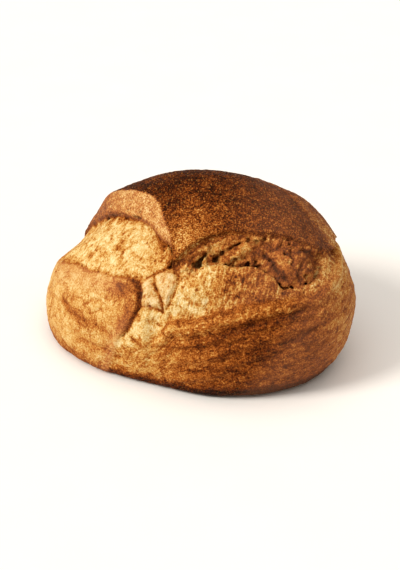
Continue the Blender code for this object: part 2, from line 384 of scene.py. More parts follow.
def curve_through(points, closed=False, steps=6):
    """A smooth line through the points."""
    points = np.array(points, float)
    if closed:
        padded = np.concatenate([points[-1:], points, points[:2]])
    else:
        padded = np.concatenate([points[:1], points, points[-1:]])
    share = np.linspace(0.0, 1.0, steps, endpoint=False)[:, None]
    line = []
    for before, start, end, after in zip(padded, padded[1:], padded[2:], padded[3:]):
        bend = 2 * before - 5 * start + 4 * end - after
        twist = 3 * start - before - 3 * end + after
        line.append(start + 0.5 * share * ((end - before) + share * (bend + share * twist)))
    line.append(padded[-2:-1])
    return np.concatenate(line)


def distance_to(line, x, y):
    """How far each place on the map is from the line."""
    nearest = np.full(x.shape, 1e9)
    for (start_x, start_y), (end_x, end_y) in zip(line[:-1], line[1:]):
        run_x, run_y = end_x - start_x, end_y - start_y
        length = run_x * run_x + run_y * run_y + 1e-12
        share = np.clip(((x - start_x) * run_x + (y - start_y) * run_y) / length, 0.0, 1.0)
        away_x = x - start_x - share * run_x
        away_y = y - start_y - share * run_y
        np.minimum(nearest, away_x * away_x + away_y * away_y, out=nearest)
    return np.sqrt(nearest)


def from_place(place, x, y):
    """How far each place on the map is from that one."""
    return np.hypot(x - place[0], y - place[1])


def depth_inside(outline, x, y):
    """How far each place is inside the closed outline, and below zero outside it."""
    inside = np.zeros(x.shape, bool)
    for (start_x, start_y), (end_x, end_y) in zip(outline[:-1], outline[1:]):
        if start_y != end_y:
            crossing = start_x + (y - start_y) * (end_x - start_x) / (end_y - start_y)
            inside ^= ((start_y > y) != (end_y > y)) & (x < crossing)
    return np.where(inside, 1.0, -1.0) * distance_to(outline, x, y)


# ======== the body and its map
def body_reach(direction):
    """How far the plain body of dough reaches in each direction from the loaf's middle."""
    along = direction[:, 0] * math.cos(TURN) + direction[:, 1] * math.sin(TURN)
    across = direction[:, 1] * math.cos(TURN) - direction[:, 0] * math.sin(TURN)
    up = direction[:, 2]
    out = np.hypot(along / HALF_LENGTH, across / HALF_BREADTH)
    rise = np.where(up > 0, CROWN_RISE, BELLY_DROP)
    roundness = np.where(up > 0, CROWN_ROUNDNESS, BELLY_ROUNDNESS)
    reach = (out ** roundness + (np.abs(up) / rise) ** roundness) ** (-1.0 / roundness)
    for bearing, height, share in SWELLINGS:
        bearing, height = math.radians(bearing), math.radians(height)
        peak = np.array([
            math.cos(height) * math.cos(bearing),
            math.cos(height) * math.sin(bearing),
            math.sin(height),
        ])
        away = np.linalg.norm(direction - peak, axis=1)
        reach *= 1.0 + share * swell(away, SWELLING_SPREAD * math.sqrt(2))
    return reach


def map_direction(x, y):
    """The direction from the loaf's middle to a place on the map."""
    angle = np.radians(np.hypot(x, y))
    spread = np.where(angle > 1e-6, np.sin(angle) / np.maximum(angle, 1e-6), 1.0)
    return np.stack([spread * np.radians(x), spread * np.radians(y), np.cos(angle)], axis=1)


def map_place(points):
    """Where points of the loaf, in millimetres, are on the map, and how far from its middle."""
    level = points[:, 2] - WIDEST_LEVEL
    x = points[:, 0] - LEAN_X * level - MIDDLE_X
    y = points[:, 1] - LEAN_Y * level - MIDDLE_Y
    flat = np.hypot(x, y)
    angle = np.degrees(np.arctan2(flat, level))
    spread = angle / np.maximum(flat, 1e-6)
    return x * spread, y * spread, np.hypot(flat, level)


def read_map(layer, x, y):
    """A layer of the map at any places, blended between its four nearest grid points."""
    column = np.clip((x + MAP_EDGE) / MAP_STEP, 0, layer.shape[0] - 1.001)
    row = np.clip((y + MAP_EDGE) / MAP_STEP, 0, layer.shape[1] - 1.001)
    left, low = column.astype(np.int32), row.astype(np.int32)
    right, high = column - left, row - low
    near = layer[left, low] * (1 - high) + layer[left, low + 1] * high
    far = layer[left + 1, low] * (1 - high) + layer[left + 1, low + 1] * high
    return near * (1 - right) + far * right


# ======== the relief of the crust
def torn_wall(x, y, seat, from_ear, from_crevice):
    """The torn dough from the ear down to the crevice: layered strips, and one big rough lump."""
    down = from_ear / (from_ear + from_crevice + 1e-6)
    foot = mixed(TORN_FOOT_AT_LEFT, TORN_FOOT, smooth_step(-20.0, -9.0, x))
    wall = mixed(TORN_TOP, foot, down)
    ripple = from_ear / LEDGE_WIDTH + 0.7 * lumps(seat, 9.0, 3).reshape(x.shape)
    strip = np.abs(ripple - np.floor(ripple) - 0.5) * 2.0
    in_strips = 1.0 - smooth_step(8.0, 18.0, x)
    wall += LEDGE_HEIGHT * in_strips * (strip - 0.5) * smooth_step(0.5, 3.0, from_crevice)
    across = (x - LUMP_MIDDLE[0]) / LUMP_HALF_SIZE[0]
    along = (y - LUMP_MIDDLE[1]) / LUMP_HALF_SIZE[1]
    wall += LUMP_HEIGHT * np.sqrt(np.clip(1.0 - across ** 2 - along ** 2, 0.0, 1.0))
    return wall


def bloom(x, y, cap, from_crevice):
    """The pale dough that swelled up out of the tear."""
    right = BLOOM_BULGE * swell(from_crevice - BLOOM_BULGE_WIDTH / 2, BLOOM_BULGE_WIDTH)
    left = LEFT_BLOOM_SWELL * smooth_step(0.0, LEFT_BLOOM_WIDTH, -cap)
    left *= 1.0 - smooth_step(-46.0, -36.0, x)
    valley = VALLEY_SWELL * swell(from_place(VALLEY_MIDDLE, x, y), VALLEY_WIDTH)
    knot = KNOT_HEIGHT * swell(from_place(KNOT_MIDDLE, x, y), KNOT_WIDTH)
    return BLOOM_FLOOR + right + left + knot + valley


def cap_relief(x, y, crumb, cap):
    """The cap: a clean sharp edge at the ear, and a puffed side face down to the lip at the left.
    Gives how far each place is inside the side face and from its top edge, too."""
    lip = curve_through(CAP_BACK[-1:] + CAP_LIP)
    side_top = curve_through(CAP_SIDE_TOP)
    side_face = depth_inside(np.concatenate([lip, side_top[::-1], lip[:1]]), x, y)
    from_lip = distance_to(lip, x, y)
    from_side_top = distance_to(side_top, x, y)

    rise = mixed(CAP_RISE, CAP_RISE_AT_BACK, smooth_step(-10.0, 60.0, y))
    rise -= CAP_RIGHT_DROP * smooth_step(30.0, 58.0, x)
    curled = swell(y + 32.0, 14.0) * smooth_step(-34.0, -20.0, x) * (1.0 - smooth_step(15.0, 35.0, x))
    rise += EAR_CURL * swell(cap - 1.5, 3.5) * curled
    top = mixed(crumb, rise, smooth_step(-EAR_STEP / 2, EAR_STEP / 2, cap))

    up_side = np.where(side_face > 0.0, from_lip / (from_lip + from_side_top + 1e-6), 1.0)
    profile = (1.0 - CAP_SIDE_PUFF) * up_side + CAP_SIDE_PUFF * round_over(up_side)
    side = crumb + CAP_LIP_HEIGHT + (rise - crumb - CAP_LIP_HEIGHT) * profile
    side += CAP_BEAD * swell(from_side_top, CAP_BEAD_WIDTH)
    side = mixed(crumb, side, smooth_step(-0.6, 0.8, cap))

    at_side = 1.0 - smooth_step(8.0, 14.0, from_lip)
    at_side *= 1.0 - smooth_step(-27.5, -25.5, x) * smooth_step(-25.0, -31.0, y)
    return mixed(top, side, at_side), side_face, from_side_top


def drawn_together(front, x):
    """How far in from the torn edge of the front crust each place is, counted in its folds' own
    measure: they draw together towards the right."""
    return front / (1.0 - FOLDS_DRAWN_TOGETHER * smooth_step(5.0, 52.0, x))


def front_relief(x, seat, front):
    """The front crust with its stretch folds."""
    drawn = drawn_together(front, x)
    drawn += 0.6 * lumps(seat, 12.0, 7).reshape(x.shape)
    folds = sum(height * swell(drawn - inset, width) for inset, width, height in FOLDS)
    (left_out, left_in), (right_in, right_out) = FOLDS_FADE
    folds = folds * smooth_step(left_out, left_in, x) * (1.0 - smooth_step(right_in, right_out, x))
    return FRONT_RISE + folds


def lines_on_map(lines, x, y, widened=1.0):
    """Creases or strands, each as high in its middle as it says, in millimetres."""
    total = np.zeros(x.shape)
    for line, height, half_width in lines:
        away = distance_to(curve_through(line), x, y) * DEGREE
        total = np.maximum(total, height * swell(away, half_width * widened))
    return total


def crust_layers():
    """The layers of the crust map: the body's reach and the relief on it in millimetres, how far
    each place is inside the plates, the torn wall and the knot and from the undercuts in degrees,
    and how deep in a crease it is, widened a little, which sets the painted shade along each crease."""
    ticks = np.arange(-MAP_EDGE, MAP_EDGE + MAP_STEP, MAP_STEP)
    flat_x, flat_y = np.meshgrid(ticks, ticks, indexing="ij")
    direction = map_direction(flat_x.ravel(), flat_y.ravel())
    reach = body_reach(direction)
    seat = direction * reach[:, None]
    shape = flat_x.shape

    # No torn edge is a clean line, so the outlines wander a little.
    x = flat_x + rough(seat, WANDER_X).reshape(shape)
    y = flat_y + rough(seat, WANDER_Y).reshape(shape)
    frayed = y + 1.2 * lumps(seat, 4.0, 6).reshape(shape)

    ear = curve_through(EAR)
    crevice = curve_through(CREVICE)
    torn = depth_inside(np.concatenate([ear, crevice[::-1], ear[:1]]), x, y)
    from_crevice = distance_to(crevice, x, y)
    cap = depth_inside(curve_through(EAR + CAP_BACK + CAP_LIP, closed=True), x, y)
    flap = depth_inside(curve_through(FLAP, closed=True), x, y)
    front = depth_inside(curve_through(FRONT_CRUST, closed=True), x, frayed)
    knots = [depth_inside(curve_through(side, closed=True), x, y) for side in (KNOT_LEFT, KNOT_RIGHT)]

    wall = torn_wall(x, y, seat, distance_to(ear, x, y), from_crevice)
    crumb = mixed(bloom(x, y, cap, from_crevice), wall, smooth_step(-0.6, 1.2, torn))
    cap_height, side_face, from_side_top = cap_relief(x, y, crumb, cap)
    flap_rise = FLAP_RISE + FLAP_CURL * swell(flap - 2.5, 4.0) * smooth_step(-66.0, -50.0, x)
    in_valley = smooth_step(-60.0, -74.0, y) * smooth_step(-18.0, -34.0, x)
    step = mixed(PLATE_STEP, PLATE_STEP_IN_VALLEY, in_valley)
    heights = [cap_height]
    for rise, inside in ((flap_rise, flap), (front_relief(x, seat, front), front)):
        heights.append(mixed(crumb, rise, smooth_step(-step / 2, step / 2, inside)))
    for inside in knots:
        heights.append(crumb + KNOT_THICK * round_over(inside / KNOT_PUFF))
    relief = highest(heights, PLATE_BLEND) + lines_on_map(STRANDS, x, y) - lines_on_map(CREASES, x, y)
    for middle, width, height in BULGES:
        relief += height * swell(from_place(middle, x, y), width)

    slope_x, slope_y = np.gradient(relief, MAP_STEP * DEGREE)
    layers = {
        "reach": reach.reshape(shape),
        "relief": relief,
        "steepness": np.sqrt(1.0 + slope_x ** 2 + slope_y ** 2),
        "cap": cap,
        "flap": flap,
        "front": front,
        "torn": torn,
        "knot": np.maximum(*knots),
        "side_face": side_face,
        "from_side_top": from_side_top,
        "creases": lines_on_map(CREASES, x, y, widened=1.5),
    }
    for number, (line, *_) in enumerate(UNDERCUTS):
        layers[f"cut {number}"] = distance_to(curve_through(line), x, y)
    return layers


# ======== the field of the whole loaf
def dough_field(points, layers):
    """Below zero inside the loaf and above zero outside it, about in millimetres."""
    x, y, distance = map_place(points)
    height = distance - read_map(layers["reach"], x, y)
    plain = (height - read_map(layers["relief"], x, y)) / read_map(layers["steepness"], x, y)
    field = plain.astype(np.float32)
    close = np.abs(plain) < NEAR
    field[close] = fine_field(points[close], x[close], y[close], height[close], plain[close], layers)
    foot = -points[:, 2]
    both = np.maximum(FOOT_ROUNDING + field, 0.0), np.maximum(FOOT_ROUNDING + foot, 0.0)
    rounded = np.hypot(*both) - FOOT_ROUNDING
    return np.where((field > -FOOT_ROUNDING) & (foot > -FOOT_ROUNDING), rounded, np.maximum(field, foot))


def fine_field(points, x, y, height, field, layers):
    """The shape near the surface: uneven crust, rough torn crumb, undercuts and pits."""
    torn = smooth_step(-0.5, 1.5, read_map(layers["torn"], x, y))
    torn *= smooth_step(-0.5, -2.5, read_map(layers["cap"], x, y) - 1.5)
    skin = smooth_step(-1.5, 1.5, depth_in_plates(layers, x, y))
    pale = (1.0 - skin) * (1.0 - torn)
    flap = smooth_step(-0.5, 1.5, read_map(layers["flap"], x, y))

    field = field - 0.5 * lumps(points, 24.0, 10) * (1.0 - torn)
    field -= rough(points, ROUGH_CRUST) * skin
    field -= rough(points, ROUGH_BLOOM) * pale
    wall = rough(points, ROUGH_WALL)
    wall *= (0.5 + 0.5 * smooth_step(0.0, 12.0, x)) * (1.0 - 0.45 * lump_share(x, y))
    field -= wall * torn
    pores = smooth_step(0.30, 0.70, lumps(points, 5.0, 16))
    cracks = swell(lumps(points, 9.0, 17), 0.07) * smooth_step(-0.3, 0.1, lumps(points, 12.0, 24))
    field += (2.2 * pores + 1.3 * cracks) * torn
    field += 0.7 * dimples(points) * pale
    field += crazing(points) * (0.5 * flap + 0.4 * pale + 0.15 * skin)

    ragged = 0.85 + 0.5 * lumps(points, 6.0, 18) + 0.25 * lumps(points, 2.6, 19)
    for number, (_, middle, half_height, half_width) in enumerate(UNDERCUTS):
        across = read_map(layers[f"cut {number}"], x, y) * DEGREE / half_width
        up = (height - middle) / half_height
        cut = (np.hypot(across, up) - ragged) * min(half_height, half_width)
        field = np.maximum(field, -cut)
    deep = height - read_map(layers["relief"], x, y)
    for middle, radius in PITS:
        away = np.hypot(from_place(middle, x, y) * DEGREE, (deep + 0.4 * radius) * 0.6)
        field = np.maximum(field, radius * ragged - away)
    return field


def lump_share(x, y):
    """1 on the big lump of torn crumb and 0 away from it."""
    across = (x - LUMP_MIDDLE[0]) / LUMP_HALF_SIZE[0]
    along = (y - LUMP_MIDDLE[1]) / LUMP_HALF_SIZE[1]
    return smooth_step(1.0, 0.6, np.hypot(across, along))


def depth_in_plates(layers, x, y):
    """How far each place is inside the plate of crust that it is on, below zero on torn dough."""
    return np.max([read_map(layers[name], x, y) for name in ("cap", "flap", "front")], axis=0)


def dimples(points):
    """1 in the small burst bubbles of the crumb."""
    return smooth_step(0.42, 0.62, lumps(points, 3.4, 25))


def crazing(points):
    """Thin wandering cracks in patches, 1 in their middle."""
    coarse = swell(lumps(points, 11.0, 27), 0.07) * smooth_step(-0.2, 0.2, lumps(points, 14.0, 8))
    fine = swell(lumps(points, 6.0, 28), 0.09) * smooth_step(0.0, 0.3, lumps(points, 10.0, 9))
    return np.maximum(coarse, fine)


def grid_field(layers, low, cell, counts):
    """The field on a grid, worked out one slice at a time."""
    field = np.empty(counts, np.float32)
    across, up = np.meshgrid(np.arange(counts[1]), np.arange(counts[2]), indexing="ij")
    thick = 16
    for first in range(0, counts[0], thick):
        last = min(first + thick, counts[0])
        block = np.empty((last - first, counts[1], counts[2], 3), np.float32)
        block[..., 0] = (low[0] + cell * np.arange(first, last))[:, None, None]
        block[..., 1] = low[1] + cell * across
        block[..., 2] = low[2] + cell * up
        values = dough_field(block.reshape(-1, 3), layers)
        field[first:last] = values.reshape(last - first, counts[1], counts[2])
    return field


# ======== the skin of the field
def skin_of(field, low, cell):
    """Points and quads of the field's zero level: a point in each cell that the level crosses, at
    the middle of its crossings, and a quad round each grid edge that it crosses."""
    solid = field < 0
    counts = np.array(field.shape) - 1
    total = np.zeros(counts, np.int8)
    for corner in itertools.product((0, 1), repeat=3):
        total += solid[tuple(slice(c, c + n) for c, n in zip(corner, counts))]
    crossed = (total > 0) & (total < 8)
    cells = np.argwhere(crossed)
    number = np.full(counts, -1, np.int32)
    number[crossed] = np.arange(len(cells))

    summed = np.zeros((len(cells), 3))
    hits = np.zeros(len(cells))
    for axis in range(3):
        unit = np.eye(3, dtype=int)[axis]
        for corner in itertools.product((0, 1), repeat=3):
            if corner[axis]:
                continue
            start = cells + corner
            end = start + unit
            start_value = field[tuple(start.T)]
            end_value = field[tuple(end.T)]
            hit = (start_value < 0) != (end_value < 0)
            share = start_value[hit] / (start_value[hit] - end_value[hit])
            summed[hit] += start[hit] + share[:, None] * unit
            hits[hit] += 1
    points = np.array(low) + cell * summed / hits[:, None]

    quads = []
    for axis in range(3):
        one, two = (axis + 1) % 3, (axis + 2) % 3
        near = np.take(solid, range(0, counts[axis]), axis=axis)
        far = np.take(solid, range(1, counts[axis] + 1), axis=axis)
        edges = np.argwhere(near != far)
        inner = (edges[:, one] > 0) & (edges[:, one] < counts[one])
        inner &= (edges[:, two] > 0) & (edges[:, two] < counts[two])
        edges = edges[inner]
        step_one, step_two = np.eye(3, dtype=int)[one], np.eye(3, dtype=int)[two]
        ring = [edges, edges - step_one, edges - step_one - step_two, edges - step_two]
        ring = np.stack([number[tuple(place.T)] for place in ring], axis=1)
        outward = near[tuple(edges.T)]
        ring[~outward] = ring[~outward][:, ::-1]
        quads.append(ring)
    return points, np.concatenate(quads)


def largest_piece(points, quads):
    """Only the biggest connected skin: stray bubbles inside the crumb are dropped."""
    label = np.arange(len(points))
    while True:
        lowest = label[quads].min(axis=1)
        changed = label.copy()
        for corner in range(4):
            np.minimum.at(changed, quads[:, corner], lowest)
        changed = changed[changed]
        if np.array_equal(changed, label):
            break
        label = changed
    biggest = np.bincount(label).argmax()
    kept = label == biggest
    renumber = np.cumsum(kept) - 1
    return points[kept], renumber[quads[kept[quads[:, 0]]]]


def plain_mesh(name, points, faces):
    mesh = bpy.data.meshes.new(name)
    mesh.from_pydata(points.tolist(), [], faces.tolist())
    mesh.update()
    return mesh


def put_in_scene(name, data):
    made = bpy.data.objects.new(name, data)
    bpy.context.scene.collection.objects.link(made)
    return made


def thin_out(piece, triangles):
    """Simplifies the piece's flat stretches until it has that many triangles."""
    piece.data.calc_loop_triangles()
    decimate = piece.modifiers.new("thin out", "DECIMATE")
    decimate.ratio = min(1.0, triangles / len(piece.data.loop_triangles))
    shown = piece.evaluated_get(bpy.context.evaluated_depsgraph_get())
    mesh = bpy.data.meshes.new_from_object(shown)
    piece.modifiers.remove(decimate)
    piece.data = mesh


def mesh_points(mesh):
    """The mesh's points in millimetres, and their normals."""
    points = np.empty(len(mesh.vertices) * 3)
    mesh.vertices.foreach_get("co", points)
    normals = np.empty(len(mesh.vertices) * 3)
    mesh.vertices.foreach_get("normal", normals)
    return points.reshape(-1, 3) / MM, normals.reshape(-1, 3)


# ======== how the crust was baked, and the shade painted on it
def fibre_lay(points, layers):
    """Places laid out in millimetres so that y runs along the grain of the dough: towards the
    front in the right bloom, away from the cap in the left one, and along the folds of the front
    crust."""
    x, y, distance = map_place(points)
    turn = np.radians(LEFT_BLOOM_TURN) * (1.0 - smooth_step(-62.0, -22.0, x))
    across_knot, along_knot = x - KNOT_MIDDLE[0], y - KNOT_MIDDLE[1]
    along = along_knot * np.cos(turn) + across_knot * np.sin(turn)
    across = across_knot * np.cos(turn) - along_knot * np.sin(turn)
    front = read_map(layers["front"], x, y)
    on_front = front > 0.0
    along = np.where(on_front, np.arctan2(x, -y) * 42.0, along)
    across = np.where(on_front, front, across)
    return np.stack([across * DEGREE, along * DEGREE, distance], axis=1)


def read_crust(points, layers):
    """What the bake depends on at each point: its place on the map, its height over the plain body,
    how far it is inside each part of the crust, and the dough's blotches and speckles."""
    x, y, distance = map_place(points)
    names = ("relief", "cap", "flap", "front", "torn", "knot", "side_face", "from_side_top", "creases")
    height = distance - read_map(layers["reach"], x, y)
    return SimpleNamespace(
        points=points,
        x=x,
        y=y,
        height=height,
        blotch=lumps(points, 16.0, 30),
        speckle=lumps(points, 6.0, 31),
        **{name: read_map(layers[name], x, y) for name in names},
    )


def patches(table, at):
    """How much darker each point is for the patches it is in."""
    return sum(
        darker * swell(np.hypot((at.x - middle[0]) / widths[0], (at.y - middle[1]) / widths[1]), 1.0)
        for middle, widths, darker in table
    )


def bloom_bake(at):
    """The pale bloom, which browns to the right and towards the edges that stood up in the oven."""
    to_right = np.clip((at.x + 27.0) / 42.0, 0.0, 1.0)
    bake = BLOOM_BAKE + BLOOM_BROWNING * to_right + 0.08 * at.blotch + 0.11 * at.speckle
    bake += 0.07 * smooth_step(-38.0, -50.0, at.x)
    bake += 0.16 * smooth_step(0.2, 0.6, lumps(at.points, 8.0, 32))
    bake += 0.10 * swell(at.front, 2.0)
    bake -= 0.09 * smooth_step(35.0, 48.0, at.x)
    bake += 0.12 * swell(at.cap, 3.0)
    bake += 0.16 * smooth_step(60.0, 90.0, np.hypot(at.x, at.y)) * smooth_step(-60.0, -80.0, at.x)
    return bake + patches(BLOOM_PATCHES, at)


def wall_bake(at):
    """The torn wall: tan strips and one tan strand at the left, and the brown lump at the right. The
    strips at the left are paler still with painted light where the ear shades them.
    """
    tan_strand = swell(distance_to(curve_through(TAN_STRAND), at.x, at.y), 2.4)
    speckle = 0.16 * at.speckle * (1.0 - 0.5 * lump_share(at.x, at.y))
    bake = WALL_BAKE + 0.13 * at.blotch + speckle - 0.14 * tan_strand
    # Painted light: the strips at the left are paler where the ear's shade falls on them.
    return np.maximum(bake - 0.24 * smooth_step(0.0, -14.0, at.x), WALL_BAKE_LEAST)


def front_bake(at, underneath):
    """The front crust: golden at the left, orange along its torn edge, then brown to the right. It
    is darker round the back, and burnt underneath, with painted shade along its foot that deepens
    to the right."""
    x, y = at.x, at.y
    to_right = smooth_step(-55.0, 25.0, x)
    bake = FRONT_BAKE + FRONT_BROWNING * to_right + 0.04 * at.blotch + 0.06 * at.speckle
    edge = FRONT_BAKE + FRONT_EDGE_BROWNING * smooth_step(-40.0, 5.0, x) + 0.05 * at.speckle
    bake += (edge - bake) * swell(at.front - 3.0, 5.0) * smooth_step(-75.0, -50.0, -np.abs(x - 20.0))
    in_fold = swell(drawn_together(at.front, x) - 11.5, 3.2)
    bake += 0.06 * in_fold * to_right * (1.0 - smooth_step(50.0, 75.0, x))
    bake -= 0.19 * smooth_step(42.0, 62.0, x) * smooth_step(-66.0, -46.0, y)
    at_back = smooth_step(-20.0, 40.0, y)
    bake += (BACK_BAKE - bake) * at_back + 0.09 * swell(at.front - 0.8, 1.0)
    # Partly burnt crust, partly painted shade: darker low down near the table, more so at the right.
    low = smooth_step(18.0, 3.0, at.points[:, 2])
    bake += (LOW_BAKE_AND_SHADE + 0.20 * to_right - bake) * low * 0.8
    # Burnt underneath, with painted shade deepening to the right.
    bake += (UNDERSIDE_BAKE_AND_SHADE - bake) * underneath * (0.6 + 0.4 * to_right)
    return bake


def flap_bake(at):
    """The flap: dull tan, and browner down its raised right edge and along its lower fold."""
    bake = FLAP_BAKE + 0.07 * at.blotch + 0.10 * at.speckle
    at_right = smooth_step(-66.0, -54.0, at.x) * smooth_step(-28.0, -40.0, at.y)
    bake += 0.26 * swell(at.flap - 5.5, 4.5) * at_right
    bake += 0.12 * swell(distance_to(curve_through(FLAP_LOWER_FOLD), at.x, at.y), 3.0)
    # Partly burnt, partly painted shade: darker low down, near the table.
    bake += 0.30 * smooth_step(18.0, 3.0, at.points[:, 2])
    return mixed(bake, FLAP_BACK_BAKE, smooth_step(10.0, 50.0, at.y))


def cap_bake(at, on_side):
    """The cap: dark brown on top, and tan down its left side face."""
    x, y = at.x, at.y
    bake = CAP_BAKE + patches(CAP_PATCHES, at) + 0.09 * at.blotch + 0.08 * at.speckle
    bake += 0.09 * smooth_step(-8.0, 12.0, y)
    bake += 0.03 * swell(at.from_side_top - 4.0, 5.0) * smooth_step(-26.0, -8.0, y)
    bake -= 0.10 * smooth_step(20.0, 100.0, np.hypot(x, y))
    over_fold = 0.72 * x + 0.70 * y
    in_fold = smooth_step(21.5, 25.5, over_fold) * smooth_step(62.0, 38.0, over_fold)
    bake -= 0.20 * in_fold * smooth_step(45.0, 12.0, y)
    side = CAP_SIDE_BAKE + 0.12 * at.speckle + 0.24 * smooth_step(-46.0, -58.0, x)
    side += 0.22 * swell(at.cap, 1.1)
    return mixed(bake, side, on_side)


def bake_of(points, layers):
    """For each point: how dark it is, from 0 for pale dough to 1 for burnt, which is how it baked
    with painted shade added in each crease and crack, in the burst bubbles, round the knot and
    along the foot; how strongly it is mottled, gritty, stranded and flecked with bran; how rosy it
    is; how much painted shade it gets deep in the hollows; and whether it is torn dough."""
    at = read_crust(points, layers)
    x, y = at.x, at.y
    in_wall = smooth_step(-0.8, 1.0, at.torn)
    in_lump = lump_share(x, y)
    knot = smooth_step(-0.5, 1.0, at.knot)
    on_flap = smooth_step(-0.6, 0.8, at.flap)
    on_cap = smooth_step(-0.6, 0.8, at.cap)
    on_side = smooth_step(-0.4, 0.6, at.side_face) * (1.0 - smooth_step(25.0, 60.0, y))
    # The foot next to the table, reaching higher to the right: burnt crust, and painted shade as well.
    underneath = smooth_step(12.0, 5.0, points[:, 2] - 3.0 * smooth_step(0.0, 40.0, x))

    bake = mixed(bloom_bake(at), wall_bake(at), in_wall)
    bake = mixed(bake, KNOT_BAKE + 0.05 * at.speckle, knot)
    # Painted shade: a darker ring round the knot's edge, where its sides fall away.
    bake += 0.10 * swell(at.knot + 0.2, 1.0)
    # Painted shade: darker in the small burst bubbles, which are pits in the shape.
    bake += 0.20 * dimples(points)
    bake = mixed(bake, front_bake(at, underneath), smooth_step(-0.5, 0.5, at.front))
    bake = mixed(bake, flap_bake(at), on_flap)
    bake = mixed(bake, cap_bake(at, on_side), on_cap)
    beside_knot = swell(from_place(KNOT_MIDDLE, x, y), 13.0)
    # Painted shade: darker in and beside each crease, most round the knot and in the torn wall, less on the
    # cap.
    bake += (0.13 + 0.05 * in_wall + 0.16 * beside_knot) * at.creases * (1.0 - 0.5 * on_cap)
    # Painted shade: darker along the thin cracks, which are grooves in the shape.
    bake += 0.16 * crazing(points) * (1.0 - 0.6 * on_cap)

    flap_edge = swell(at.flap - 3.0, 6.0) * smooth_step(-46.0, -58.0, x)
    rosy_parts = (
        on_flap * (0.15 + 0.85 * flap_edge) * smooth_step(30.0, -10.0, y),
        on_side,
        0.9 * knot,
        0.6 * smooth_step(-10.0, 25.0, x) * smooth_step(1.0, -1.0, at.front),
        0.7 * smooth_step(30.0, 50.0, x) * smooth_step(-10.0, -40.0, y),
        in_wall * (0.25 + 0.35 * smooth_step(8.0, 26.0, x)) * (1.0 - 0.2 * in_lump),
    )
    skin = smooth_step(-0.8, 1.0, np.max([at.cap, at.flap, at.front], axis=0))
    in_wall = in_wall * (1.0 - smooth_step(0.5, 1.5, at.cap))
    pale = (1.0 - skin) * (1.0 - in_wall)
    on_front = smooth_step(0.0, 1.5, at.front)
    marks = {
        name: sum(amount * share for amount, share in zip(amounts, (skin, on_cap, pale, in_wall)))
        for name, amounts in MARKS.items()
    }
    return marks | {
        "bake": bake,
        "stranded": pale * (0.10 + 0.10 * smooth_step(-34.0, -22.0, x)) + 0.12 * in_wall + 0.14 * on_front,
        "rosy": np.max(rosy_parts, axis=0),
        # Painted shade: the darkest brown where a point lies deep below the relief, in the hollows.
        "hollow_shade": smooth_step(0.8, 4.5, at.relief - at.height) * (1.0 - underneath),
        "torn": 1.0 - skin,
    }


def write_attributes(mesh, layers):
    points, _ = mesh_points(mesh)
    for name, values in bake_of(points, layers).items():
        layer = mesh.attributes.new(name, "FLOAT", "POINT")
        layer.data.foreach_set("value", np.clip(values, 0.0, 1.0).astype(np.float32))
    layer = mesh.attributes.new("lay", "FLOAT_VECTOR", "POINT")
    layer.data.foreach_set("vector", (fibre_lay(points, layers) * MM).astype(np.float32).ravel())


def grain(points, layers):
    """The finest relief in millimetres: the grain of the crust, and the drawn-out fibres of the
    crumb and of the front crust."""
    x, y, _ = map_place(points)
    skin = smooth_step(-1.0, 1.0, depth_in_plates(layers, x, y))
    front = smooth_step(0.0, 2.0, read_map(layers["front"], x, y))
    fibre = fibre_lay(points, layers) * (1.0, 0.35, 1.0)
    folded = fibre_lay(points, layers) * (1.0, 0.3, 1.0)
    fine = skin * 0.24 * lumps(points, 2.6, 20)
    fine += front * rough(folded, GRAIN_ALONG_FOLDS)
    fibrous = 0.18 + 0.24 * smooth_step(-34.0, -22.0, x)
    fine += (1.0 - skin) * (fibrous * lumps(fibre, 2.6, 22) + 0.25 * lumps(points, 2.4, 23))
    return fine * smooth_step(0.5, 6.0, points[:, 2])


def make_loaf():
    """The loaf's whole skin as one closed mesh, with what its finish needs in its attributes."""
    layers = crust_layers()
    low, high = (np.array(corner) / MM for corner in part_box("sourdough_loaf"))
    start = low - GRID_MARGIN
    start[2] = low[2] - 2.5 * CELL
    counts = np.ceil((high + GRID_MARGIN - start) / CELL).astype(int)
    points, quads = skin_of(grid_field(layers, start, CELL, counts), start, CELL)
    points, quads = largest_piece(points, quads)
    loaf = put_in_scene("loaf_crust", plain_mesh("loaf_crust", points * MM, quads))

    points, normals = mesh_points(loaf.data)
    points += normals * grain(points, layers)[:, None]
    loaf.data.vertices.foreach_set("co", (points * MM).ravel())
    loaf.data.update()

    thin_out(loaf, TRIANGLES)
    loaf.data.name = "loaf_crust"
    loaf.data.shade_smooth()
    write_attributes(loaf.data, layers)
    return loaf


# ======== materials
def colour(code):
    """A linear colour from its sRGB hex code."""
    parts = [int(code[place:place + 2], 16) / 255 for place in (1, 3, 5)]
    linear = [part / 12.92 if part <= 0.04045 else ((part + 0.055) / 1.055) ** 2.4 for part in parts]
    return (*linear, 1.0)


def add(tree, kind, inputs=None, stops=None, output=0, **settings):
    """Adds a node with its settings, and gives one of its outputs. An input is named or numbered,
    and is given as a value or as another node's output to link. Stops are a colour ramp's places
    with their hex colours."""
    made = tree.nodes.new(kind)
    for name, value in settings.items():
        setattr(made, name, value)
    for name, value in (inputs or {}).items():
        if isinstance(value, bpy.types.NodeSocket):
            tree.links.new(value, made.inputs[name])
        else:
            made.inputs[name].default_value = value
    for number, (place, code) in enumerate(stops or ()):
        elements = made.color_ramp.elements
        element = elements[number] if number < 2 else elements.new(place)
        element.position = place
        element.color = colour(code)
    return made.outputs[output] if made.outputs else None


def per(size):
    """The scale of a pattern whose features are that many millimetres across."""
    return 1.0 / (size * MM)


